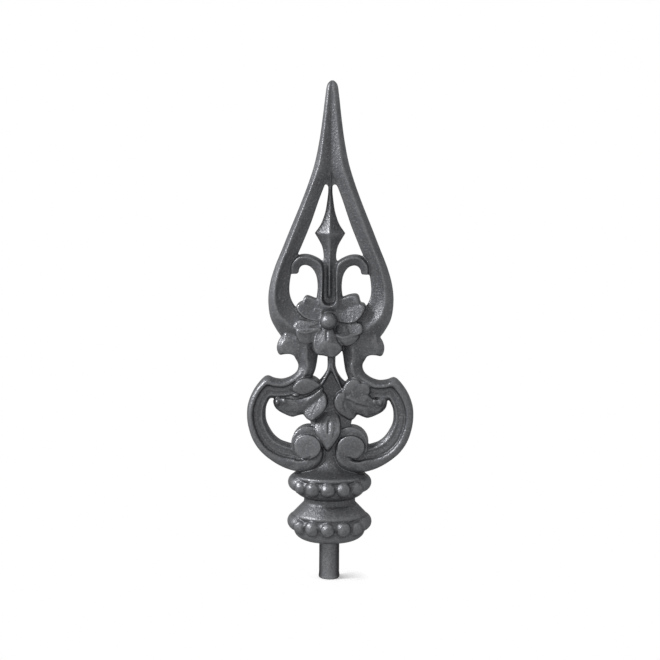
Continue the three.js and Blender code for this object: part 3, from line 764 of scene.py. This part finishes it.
def ear(side):
    """A flat ear with a bevel along its outer edge."""
    edge = outline_edge(EAR_OUTLINE)
    share = np.linspace(0, 1, 40)[:, None]
    x = mix(EAR_MIDDLE[0], edge[:, 0], share)
    z = mix(EAR_MIDDLE[1], edge[:, 1], share)
    to_edge = (1 - share) * np.linalg.norm(edge - EAR_MIDDLE, axis=1)
    bevel = mix(EAR_INNER_BEVEL, EAR_BEVEL, ease((edge[:, 0] - EAR_BEVEL_FROM) / EAR_BEVEL_RUN))
    depth = EAR_DEPTH - EAR_FALL * (x - EAR_NECK) - EAR_DROP * np.clip(1 - to_edge / bevel, 0, 1)
    depth = depth - EAR_LEAN * np.maximum(EAR_TOP - z, 0)
    depth = depth - EAR_TOP_SINK * np.maximum(z - EAR_TOP, 0) ** 2
    at_neck = ease((EAR_FOOT_EDGE - x) / EAR_FOOT_RUN)
    depth = depth - EAR_FOOT_SINK * np.maximum(EAR_FOOT - z, 0) ** 2 * at_neck
    solid = pad(x, z, depth)
    return solid if side > 0 else mirrored(solid)


def fork():
    """The web that closes the fork of the head above the openings."""
    across = np.linspace(-FORK_HALF_WIDTH, FORK_HALF_WIDTH, 61)[None, :]
    arch = np.sqrt(np.clip(ARCH_RADIUS**2 - (np.abs(across) - ARCH_CENTRE) ** 2, 0, None))
    z = mix(FORK_FOOT + arch, FORK_TOP, np.linspace(0, 1, 24)[:, None])
    return strip(INNER_AXIS + across * np.ones_like(z), z, FORK_DEPTH * np.ones_like(z))


def dart():
    """The four-sided dart, running down into a stem that thins to a rib."""
    runs = zip(columns(DART_POINT), columns(DART_STEM))
    z, half_width, edge, ridge, rib = (np.concatenate(pair) for pair in runs)
    across = np.linspace(-1, 1, 41)[None, :]
    roof = mix(ridge, edge, np.abs(across))
    crest = np.exp(-(across * half_width / STEM_RIB_HALF_WIDTH) ** 2)
    thin = mix(STEM_FLOOR_DEPTH, ridge, crest)
    depth = mix(roof, thin, ease(rib))
    return strip(INNER_AXIS + half_width * across, z * np.ones_like(across), depth)


def fleur_arm(side):
    """Half of the fleur: the tongue at its foot, the arm and the hook."""
    outer_x, outer_z, inner_x, inner_z, tongue, share = columns(FLEUR_STATIONS, first=2)
    across = np.linspace(0, 1, 33)
    x = INNER_AXIS + side * mix(outer_x, inner_x, across[None, :])
    z = mix(outer_z, inner_z, across[None, :])
    arm, foot = (section(points, across)[None, :] for points in (FLEUR_SECTION, TONGUE_SECTION))
    return strip(x, z, share * mix(arm, foot, np.clip(tongue, 0, 1)))


def web():
    """The sunk field behind the leaves, with the stalk that runs up to the flower."""
    z, half_width, depth = columns(WEB_STATIONS)
    across = np.linspace(-1, 1, 31)[None, :]
    depth = depth * (1 - WEB_FALL * across**4)
    return strip(STALK_AXIS + half_width * across, z * np.ones_like(across), depth)


def bud():
    """The bud, round across and pointed at its foot."""
    z, half_width, depth = columns(BUD_STATIONS)
    across = np.linspace(-1, 1, 31)[None, :]
    depth = depth * (np.sqrt(1 - BUD_FALL * across**2) + BUD_TIP * across)
    return strip(BUD_AXIS + half_width * across, z * np.ones_like(across), depth)


# Meshes


def pattern_object(name, solids):
    """Makes one mesh object, in metres, from a list of closed solids in millimetres."""
    points = []
    faces = []
    count = 0
    for solid_points, solid_faces in solids:
        points.append(solid_points * MM)
        faces.append(solid_faces + count)
        count += len(solid_points)
    mesh = bpy.data.meshes.new(name)
    mesh.from_pydata(np.concatenate(points).tolist(), [], np.concatenate(faces).tolist())
    mesh.update()
    bpy.context.scene.collection.objects.link(bpy.data.objects.new(name, mesh))


def settle(piece):
    """Works a piece's modifiers into its own mesh and removes them."""
    bpy.context.view_layer.update()
    graph = bpy.context.evaluated_depsgraph_get()
    mesh = bpy.data.meshes.new_from_object(piece.evaluated_get(graph))
    piece.modifiers.clear()
    old = piece.data
    piece.data = mesh
    bpy.data.meshes.remove(old)


def feed(tree, socket, source):
    """Joins an input to another node's output, or sets it to a value or a colour."""
    if isinstance(source, bpy.types.NodeSocket):
        tree.links.new(source, socket)
    elif socket.type == "RGBA":
        socket.default_value = (*source, 1)
    else:
        socket.default_value = source


def add_node(tree, kind, sources, **settings):
    """Adds a node with its settings, feeds its inputs and returns its outputs."""
    node = tree.nodes.new(kind)
    for name, value in settings.items():
        setattr(node, name, value)
    for name, source in sources.items():
        feed(tree, node.inputs[name], source)
    return node.outputs


def bead_ring_tree():
    """A node tree that sets slightly uneven beads round a circle and leaves the cheeks plain."""
    tree = bpy.data.node_groups.new("Bead ring", "GeometryNodeTree")
    inputs = {
        "Beads": "Int", "Ring radius": "Float", "Height": "Float", "Bead radius": "Float",
        "Unevenness": "Float", "Lumps": "Float", "Plain cheeks": "Float", "Seed": "Int", "Iron": "Material"}
    for name, kind in inputs.items():
        tree.interface.new_socket(name=name, in_out="INPUT", socket_type="NodeSocket" + kind)
    tree.interface.new_socket(name="Beads", in_out="OUTPUT", socket_type="NodeSocketGeometry")

    def add(kind, sources, **settings):
        return add_node(tree, kind, sources, **settings)

    given = add("NodeGroupInput", {})
    circle = add("GeometryNodeMeshCircle", {"Vertices": given["Beads"], "Radius": given["Ring radius"]})
    lift = add("ShaderNodeCombineXYZ", {"Z": given["Height"]})
    ring = add("GeometryNodeTransform", {
        "Geometry": circle["Mesh"], "Translation": lift["Vector"], "Rotation": (0, 0, -math.pi / 2)})

    position = add("GeometryNodeInputPosition", {})
    where = add("ShaderNodeSeparateXYZ", {"Vector": position["Position"]})
    from_middle = add("ShaderNodeMath", {0: where["Y"]}, operation="ABSOLUTE")
    kept = add("FunctionNodeCompare", {"A": from_middle["Value"], "B": given["Plain cheeks"]},
               operation="GREATER_THAN")

    bead = add("GeometryNodeMeshIcoSphere", {"Radius": given["Bead radius"], "Subdivisions": 4})
    smallest = add("ShaderNodeMath", {0: 1, 1: given["Unevenness"]}, operation="SUBTRACT")
    largest = add("ShaderNodeMath", {0: 1, 1: given["Unevenness"]}, operation="ADD")
    size = add("FunctionNodeRandomValue", {
        "Min": smallest["Value"], "Max": largest["Value"], "Seed": given["Seed"]}, data_type="FLOAT_VECTOR")
    place = add("GeometryNodeInstanceOnPoints", {
        "Points": ring["Geometry"], "Selection": kept["Result"], "Instance": bead["Mesh"],
        "Scale": size["Value"]})
    real = add("GeometryNodeRealizeInstances", {"Geometry": place["Instances"]})

    lumps = add("ShaderNodeTexNoise", {"Scale": 200, "Detail": 2})
    middle = add("ShaderNodeVectorMath", {0: lumps["Color"], 1: (0.5, 0.5, 0.5)}, operation="SUBTRACT")
    shift = add("ShaderNodeVectorMath", {0: middle["Vector"], "Scale": given["Lumps"]}, operation="SCALE")
    uneven = add("GeometryNodeSetPosition", {"Geometry": real["Geometry"], "Offset": shift["Vector"]})
    coat = add("GeometryNodeSetMaterial", {"Geometry": uneven["Geometry"], "Material": given["Iron"]})
    add("NodeGroupOutput", {"Beads": coat["Geometry"]})
    return tree


def bead_ring(name, tree, values):
    """Makes a ring of beads as a plain mesh object."""
    piece = bpy.data.objects.new(name, bpy.data.meshes.new(name))
    bpy.context.scene.collection.objects.link(piece)
    nodes = piece.modifiers.new("Bead ring", "NODES")
    nodes.node_group = tree
    for item in tree.interface.items_tree:
        if item.in_out == "INPUT":
            nodes[item.identifier] = values[item.name]
    settle(piece)


def fuse(pieces, name, detail):
    """Joins pieces and fuses what overlaps into one closed skin."""
    for piece in bpy.context.selected_objects:
        piece.select_set(False)
    for piece in pieces:
        piece.select_set(True)
    casting = pieces[0]
    bpy.context.view_layer.objects.active = casting
    bpy.ops.object.join()
    casting.name = name
    casting.data.name = name
    remesh = casting.modifiers.new("Fuse", "REMESH")
    remesh.mode = "VOXEL"
    remesh.voxel_size = detail
    remesh.adaptivity = 0
    settle(casting)
    return casting


def read(items, field, width, kind=float):
    """One field of all the points or edges of a mesh, a row for each."""
    values = np.empty(width * len(items), dtype=kind)
    items.foreach_get(field, values)
    return values.reshape(-1, width)


def read_points(mesh):
    return read(mesh.vertices, "co", 3)


def read_normals(mesh):
    return read(mesh.vertices, "normal", 3)


def read_edges(mesh):
    return read(mesh.edges, "vertices", 2, np.int64)


def write_points(mesh, points):
    mesh.vertices.foreach_set("co", points.ravel())
    mesh.update()


def neighbour_mean(values, edges):
    """The mean of each point's neighbours."""
    count = len(values)
    first, second = edges.T
    number = np.bincount(first, minlength=count) + np.bincount(second, minlength=count)
    total = np.empty_like(values)
    for axis in range(values.shape[1]):
        column = values[:, axis]
        total[:, axis] = np.bincount(first, column[second], count) + np.bincount(second, column[first], count)
    return total / number[:, None]


def soften(points, edges, rounds, share=0.5):
    """Points drawn towards their neighbours' mean, round after round."""
    for _ in range(rounds):
        points = mix(points, neighbour_mean(points, edges), share)
    return points


def carve(points, normals, line, half_width, height):
    """Works one line into the faces that look to the front or to the back."""
    samples = spline(line, np.linspace(0, 1, max(int(2 * path_length(line)), 12))) * MM
    reach = 3 * half_width * MM
    x, z = points[:, 0], points[:, 2]
    low = samples.min(axis=0) - reach
    high = samples.max(axis=0) + reach
    near = (x > low[0]) & (x < high[0]) & (z > low[1]) & (z < high[1])
    chosen = np.nonzero(near & (np.abs(normals[:, 1]) > LINE_FACING))[0]
    gap = np.hypot(x[chosen, None] - samples[:, 0], z[chosen, None] - samples[:, 1])
    nearest = gap.argmin(axis=1)
    place = nearest / (len(samples) - 1)
    strength = mix(LINE_END, 1, ease(np.minimum(place, 1 - place) / LINE_FADE))
    profile = np.exp(-(gap.min(axis=1) / (half_width * MM)) ** 2)
    points[chosen, 1] += np.sign(normals[chosen, 1]) * height * MM * profile * strength


def thin_out(piece, most_triangles):
    """Takes out triangles where the skin is flat, down to a number of triangles."""
    triangles = sum(len(face.vertices) - 2 for face in piece.data.polygons)
    if triangles <= most_triangles:
        return
    decimate = piece.modifiers.new("Thin", "DECIMATE")
    decimate.ratio = most_triangles / triangles
    settle(piece)


def mark_relief(mesh):
    """Stores how far each point stands out of, or lies in, the form that rounds of smoothing leave."""
    points = read_points(mesh)
    normals = read_normals(mesh)
    edges = read_edges(mesh)
    rounds_by_name = {"edge_height": 6, "relief_height": 60}
    smooth = points
    done = 0
    for name, rounds in rounds_by_name.items():
        smooth = soften(smooth, edges, rounds - done, 0.8)
        done = rounds
        height = ((points - smooth) * normals).sum(axis=1) / MM
        mark = mesh.attributes.new(name, "FLOAT", "POINT")
        mark.data.foreach_set("value", height.astype(np.float32))


# Materials


class Graph:
    """A material's node tree with short ways to add the nodes it uses."""

    def __init__(self, name):
        self.material = bpy.data.materials.new(name)
        self.material.use_nodes = True
        self.tree = self.material.node_tree

    def add(self, kind, sources, **settings):
        return add_node(self.tree, kind, sources, **settings)

    def noise(self, coordinate, size, detail, roughness=0.55):
        """Noise whose features measure about a size in metres."""
        return self.add("ShaderNodeTexNoise", {
            "Vector": coordinate, "Scale": 1 / size, "Detail": detail, "Roughness": roughness})["Fac"]

    def span(self, source, low, high, to_low, to_high):
        """A value mapped from one span to another, held at its ends."""
        return self.add("ShaderNodeMapRange", {
            "Value": source, "From Min": low, "From Max": high, "To Min": to_low,
            "To Max": to_high})["Result"]

    def math(self, operation, first, second=0):
        return self.add("ShaderNodeMath", {0: first, 1: second}, operation=operation)["Value"]

    def attribute(self, name):
        return self.add("ShaderNodeAttribute", {}, attribute_name=name)["Fac"]

    def blend(self, share, first, second):
        """A mix of two colours, each given as a colour or as another node's output."""
        sources = {"Factor": share, "A": first, "B": second}
        return self.add("ShaderNodeMix", sources, data_type="RGBA")["Result"]

    def finish(self, sources):
        """Feeds the shader's inputs and returns the material."""
        shader = self.tree.nodes["Principled BSDF"]
        for name, source in sources.items():
            feed(self.tree, shader.inputs[name], source)
        return self.material


def pin_painted_shading(graph, coordinate):
    """Masks of a painted highlight along the pin's middle and of painted shade at its sides, ending at its
    shoulder.
    """
    places = graph.add("ShaderNodeSeparateXYZ", {"Vector": coordinate})
    aside = graph.math("ABSOLUTE", places["X"])
    radius = PIN_RADIUS * MM
    full, end = PIN_SHOULDER
    on_pin = graph.span(places["Z"], full * MM, end * MM, 1, 0)
    painted_pin_highlight = graph.math("MULTIPLY", on_pin, graph.span(aside, 0.1 * radius, 0.8 * radius, 1, 0))
    painted_pin_shade = graph.math("MULTIPLY", on_pin, graph.span(aside, 0.6 * radius, radius, 0, 0.9))
    return painted_pin_highlight, painted_pin_shade


def raw_iron(finish):
    """Raw grey iron: sand grain, mottling, painted shade in its hollows, and edges lighter by wear and
    painted highlight.
    """
    graph = Graph("Raw cast iron")
    coordinate = graph.add("ShaderNodeTexCoord", {})["Object"]
    grain = graph.noise(coordinate, finish.grain_size, 3, 0.6)
    speckle = graph.noise(coordinate, 0.6 * finish.grain_size, 2, 0.7)
    mottle = graph.noise(coordinate, MOTTLE_SIZE, 4)
    # Painted shade: hollows and creases are darkened by the relief, where shade falls.
    relief = graph.span(graph.attribute("relief_height"), -1.4, 1.4, 0.36, 0.64)
    edge = graph.span(graph.attribute("edge_height"), 0.02, 0.16, 0, 1)
    painted_pin_highlight, painted_pin_shade = pin_painted_shading(graph, coordinate)

    # The colour runs from painted shade in the hollows to the face with the relief, in patches and specks.
    # Raised edges are lighter, partly from wear and partly as a painted highlight; the pin gets a painted
    # highlight along its middle and painted shade at its sides.
    patch = graph.span(mottle, 0.3, 0.7, -0.12, 0.12)
    specks = graph.span(speckle, 0.25, 0.75, -0.7, 0.75)
    share = graph.math("ADD", graph.math("ADD", relief, patch), specks)
    # The painted shade on the pin's sides also pulls the colour towards the hollow colour.
    share = graph.math("SUBTRACT", share, painted_pin_shade)
    colour = graph.blend(share, finish.hollow_shade_and_speck_colour, finish.face_colour)
    # Raised edges are lighter, partly from wear and partly as a painted highlight.
    rubbed_and_highlighted = graph.math("MULTIPLY", edge, graph.span(grain, 0.35, 0.65, 0.35, 1))
    # Painted highlight along the pin's middle, broken up by the speckle.
    speckled_pin_highlight = graph.math("MULTIPLY", painted_pin_highlight, graph.span(speckle, 0.3, 0.7, 0.2, 1))
    flecks = graph.span(graph.noise(coordinate, 0.75 * finish.grain_size, 1), 0.58, 0.72, 0, 0.6)
    for brightening in (graph.math("MULTIPLY", rubbed_and_highlighted, 0.6), speckled_pin_highlight, flecks):
        colour = graph.blend(brightening, colour, finish.wear_and_highlight_colour)
    # Painted shade on the pin's sides.
    colour = graph.blend(painted_pin_shade, colour, PIN_SIDE_SHADE_COLOUR)

    # The grain makes the skin rough and uneven, and rubbing smooths it a little.
    rough = graph.span(grain, 0.3, 0.7, finish.roughness + 0.1, finish.roughness - 0.08)
    rough = graph.math("SUBTRACT", rough, graph.math("MULTIPLY", rubbed_and_highlighted, 0.1))
    height = graph.math("ADD", grain, graph.math("MULTIPLY", speckle, 0.6))
    bump = graph.add("ShaderNodeBump", {"Strength": 1, "Distance": finish.grain_depth, "Height": height})
    return graph.finish({
        "Base Color": colour, "Specular Tint": RIM_TINT, "Roughness": rough, "Metallic": finish.metallic,
        "Normal": bump["Normal"]})


def plain_floor(studio):
    """A pale floor that fades into the white backdrop away from the finial."""
    graph = Graph("Studio floor")
    coordinate = graph.add("ShaderNodeTexCoord", {})["Object"]
    distance = graph.add("ShaderNodeVectorMath", {0: coordinate}, operation="LENGTH")["Value"]
    near, far = FLOOR_FADE
    return graph.finish({
        "Alpha": graph.span(distance, near, far, 1, 0), "Base Color": studio.floor_colour, "Roughness": 0.9,
        "Specular IOR Level": 0})


# Operators


class FINIAL_OT_lance_head(Operator):
    """Models the lance head with its ears, dart and fleur"""

    bl_idname = "finial.lance_head"
    bl_label = "Lance head"

    def execute(self, context):
        solids = [dart(), fork()]
        for side in (1, -1):
            solids += [head_limb(side), ear(side), fleur_arm(side)]
        pattern_object("pattern_lance_head", solids)
        return {"FINISHED"}


class FINIAL_OT_flower(Operator):
    """Models the flower with its petals and ball"""

    bl_idname = "finial.flower"
    bl_label = "Flower"

    def execute(self, context):
        solids = [disc(FLOWER_CENTRE, **FLOWER_DISC)]
        solids += [lobe(**petal) for petal in FLOWER_PETALS]
        solids += front_and_back(FLOWER_CENTRE, BALL_DEPTH, BALL_RADII)
        pattern_object("pattern_flower", solids)
        return {"FINISHED"}


class FINIAL_OT_scrolls(Operator):
    """Models the scroll frame with its volutes"""

    bl_idname = "finial.scrolls"
    bl_label = "Scrolls"

    def execute(self, context):
        solids = []
        for side in (1, -1):
            solids.append(scroll_frame(side))
            solids.append(disc((side * LOBE_CENTRE[0], LOBE_CENTRE[1]), **LOBE))
            solids.append(disc((side * BOSS_CENTRE[0], BOSS_CENTRE[1]), **BOSS, slope=BOSS_SLOPES[side]))
        pattern_object("pattern_scrolls", solids)
        return {"FINISHED"}


class FINIAL_OT_foliage(Operator):
    """Models the leaves, their stalk and the bud"""

    bl_idname = "finial.foliage"
    bl_label = "Foliage"

    def execute(self, context):
        solids = [web(), bud()]
        solids += [lobe(**LEAF_BACK), mirrored(lobe(**LEAF_BACK))]
        solids += [lobe(**leaf) for leaf in LEAF_LOBES]
        solids += [round_rib(line, RIB_HALF_WIDTH, RIB_DEPTH, RIB_ROOT) for line in RIB_LINES]
        for tip in LEAF_TIP_CURLS:
            solids += front_and_back(tip, LEAF_TIP_DEPTH, LEAF_TIP_RADII)
        solids += front_and_back(LEAF_TOOTH, LEAF_TIP_DEPTH, LEAF_TOOTH_RADII)
        pattern_object("pattern_foliage", solids)
        return {"FINISHED"}


class FINIAL_OT_beaded_base(Operator):
    """Models the turned base with its pin and rings of beads"""

    bl_idname = "finial.beaded_base"
    bl_label = "Beaded base"

    def execute(self, context):
        sizes = context.scene.finial_sizes
        rings = [
            ("upper", sizes.upper_bead_ring, sizes.upper_bead_height, sizes.upper_bead_radius, 3),
            ("lower", sizes.lower_bead_ring, sizes.lower_bead_height, sizes.lower_bead_radius, 8),
        ]
        solids = [turned(BASE_RUNS)]
        solids += [cheeks(ring / MM, height / MM + CHEEK_RISE) for _, ring, height, _, _ in rings]
        pattern_object("pattern_base", solids)
        tree = bead_ring_tree()
        for name, ring, height, bead, seed in rings:
            bead_ring(f"pattern_{name}_beads", tree, {
                "Beads": sizes.bead_count, "Ring radius": ring, "Height": height, "Bead radius": bead,
                "Unevenness": sizes.bead_unevenness, "Lumps": sizes.bead_lumps,
                "Plain cheeks": CHEEK_HALF_WIDTH * MM, "Seed": seed, "Iron": None})
        return {"FINISHED"}


class FINIAL_OT_casting(Operator):
    """Fuses the patterns into one casting, works in the fine lines and finishes the iron"""

    bl_idname = "finial.casting"
    bl_label = "Casting"

    def execute(self, context):
        sizes = context.scene.finial_sizes
        patterns = [piece for piece in context.scene.objects if piece.name.startswith("pattern_")]
        if not patterns:
            raise RuntimeError("model the patterns before the casting")
        detail = sizes.detail
        casting = fuse(patterns, "finial_casting", detail)
        edges = read_edges(casting.data)
        points = soften(read_points(casting.data), edges, sizes.soften_rounds)
        write_points(casting.data, points)
        normals = read_normals(casting.data)
        for line, half_width, height in CARVED_LINES:
            carve(points, normals, line, half_width, height)
        write_points(casting.data, soften(points, edges, 1))
        thin_out(casting, sizes.most_triangles)
        casting.data.shade_smooth()
        mark_relief(casting.data)
        casting.data.materials.clear()
        casting.data.materials.append(raw_iron(context.scene.finial_finish))
        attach(casting, "root")
        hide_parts(NODE)
        return {"FINISHED"}


class FINIAL_OT_studio(Operator):
    """Sets up the floor, the lights and the camera"""

    bl_idname = "finial.studio"
    bl_label = "Studio"

    def execute(self, context):
        studio = context.scene.finial_studio
        lay_floor(studio)
        light_surround(context.scene, studio)
        area_light("Key", **KEY_LIGHT, power=studio.key_power)
        area_light("Front", **FRONT_LIGHT, power=studio.front_power)
        place_camera(context.scene, studio)
        context.scene.view_settings.view_transform = "Standard"
        return {"FINISHED"}


def lay_floor(studio):
    """A round floor at the pin's end."""
    mesh = bpy.data.meshes.new("studio_floor")
    ring = [(FLOOR_RADIUS * math.cos(angle), FLOOR_RADIUS * math.sin(angle), 0) for angle in angles(64)]
    mesh.from_pydata(ring, [], [tuple(range(len(ring)))])
    floor = bpy.data.objects.new("studio_floor", mesh)
    bpy.context.scene.collection.objects.link(floor)
    mesh.materials.append(plain_floor(studio))


def light_surround(scene, studio):
    """Even light from all round, with a white backdrop behind the object."""
    world = bpy.data.worlds.new("Studio surround")
    world.use_nodes = True
    tree = world.node_tree
    direction = add_node(tree, "ShaderNodeTexCoord", {})["Generated"]
    towards = add_node(tree, "ShaderNodeVectorMath", {0: direction, 1: BRIGHT_SIDE}, operation="DOT_PRODUCT")
    strength = add_node(tree, "ShaderNodeMapRange", {
        "Value": towards["Value"], "From Min": SURROUND_SPAN[0], "From Max": SURROUND_SPAN[1],
        "To Min": studio.surround_dim, "To Max": studio.surround_bright}, interpolation_type="SMOOTHSTEP")
    light = tree.nodes["Background"]
    feed(tree, light.inputs["Color"], (1, 1, 1))
    feed(tree, light.inputs["Strength"], strength["Result"])
    backdrop = add_node(tree, "ShaderNodeBackground", {"Color": (1, 1, 1), "Strength": 1})
    seen = add_node(tree, "ShaderNodeLightPath", {})["Is Camera Ray"]
    choice = add_node(tree, "ShaderNodeMixShader", {0: seen, 1: light.outputs[0], 2: backdrop[0]})
    feed(tree, tree.nodes["World Output"].inputs["Surface"], choice[0])
    scene.world = world


def area_light(name, place, size, power):
    """A square soft light that faces the middle of the finial."""
    data = bpy.data.lights.new(name, "AREA")
    data.shape = "SQUARE"
    data.size = size
    data.energy = power
    light = bpy.data.objects.new(name, data)
    light.location = place
    aim = Vector((0, 0, TIP_HEIGHT / 2)) - Vector(place)
    light.rotation_euler = aim.to_track_quat("-Z", "Y").to_euler()
    bpy.context.scene.collection.objects.link(light)


def place_camera(scene, studio):
    """A camera that looks at the middle of the finial from a little to the right of the front."""
    data = bpy.data.cameras.new("Camera")
    data.sensor_width = CAMERA_SENSOR
    data.lens = studio.camera_lens
    data.shift_x, data.shift_y = CAMERA_SHIFT
    camera = bpy.data.objects.new("Camera", data)
    turn = studio.camera_turn
    flat = Vector((math.sin(turn), -math.cos(turn), 0)) * studio.camera_distance
    place = flat + Vector((0, 0, studio.camera_height))
    forward = (Vector((0, 0, TIP_HEIGHT / 2)) - place).normalized()
    right = forward.cross(Vector((0, 0, 1))).normalized()
    up = right.cross(forward)
    roll = studio.camera_roll
    across = right * math.cos(roll) - up * math.sin(roll)
    upright = right * math.sin(roll) + up * math.cos(roll)
    turned_axes = Matrix((across, upright, -forward)).transposed().to_4x4()
    camera.matrix_world = Matrix.Translation(place) @ turned_axes
    scene.collection.objects.link(camera)
    scene.camera = camera


class FINIAL_PT_panel(Panel):
    """Lists the steps and sizes of the finial in the sidebar"""

    bl_idname = "FINIAL_PT_panel"
    bl_label = "Fence spear finial"
    bl_space_type = "VIEW_3D"
    bl_region_type = "UI"
    bl_category = "Finial"

    def draw(self, context):
        layout = self.layout
        for group in (context.scene.finial_sizes, context.scene.finial_finish, context.scene.finial_studio):
            box = layout.box()
            for name in group.__annotations__:
                box.prop(group, name)
        for step in STEPS:
            layout.operator(step.bl_idname)


STEPS = (
    FINIAL_OT_lance_head,
    FINIAL_OT_flower,
    FINIAL_OT_scrolls,
    FINIAL_OT_foliage,
    FINIAL_OT_beaded_base,
    FINIAL_OT_casting,
    FINIAL_OT_studio,
)
GROUPS = {
    "finial_sizes": FinialSizes,
    "finial_finish": FinialFinish,
    "finial_studio": FinialStudio,
}


def register():
    for group in (*GROUPS.values(), *STEPS, FINIAL_PT_panel):
        bpy.utils.register_class(group)
    for name, group in GROUPS.items():
        setattr(bpy.types.Scene, name, PointerProperty(type=group))


def unregister():
    for name in GROUPS:
        delattr(bpy.types.Scene, name)
    for group in (FINIAL_PT_panel, *STEPS, *GROUPS.values()):
        bpy.utils.unregister_class(group)


def main():
    register()
    bpy.ops.finial.lance_head()
    bpy.ops.finial.flower()
    bpy.ops.finial.scrolls()
    bpy.ops.finial.foliage()
    bpy.ops.finial.beaded_base()
    bpy.ops.finial.casting()
    bpy.ops.finial.studio()


if __name__ == "__main__":
    main()
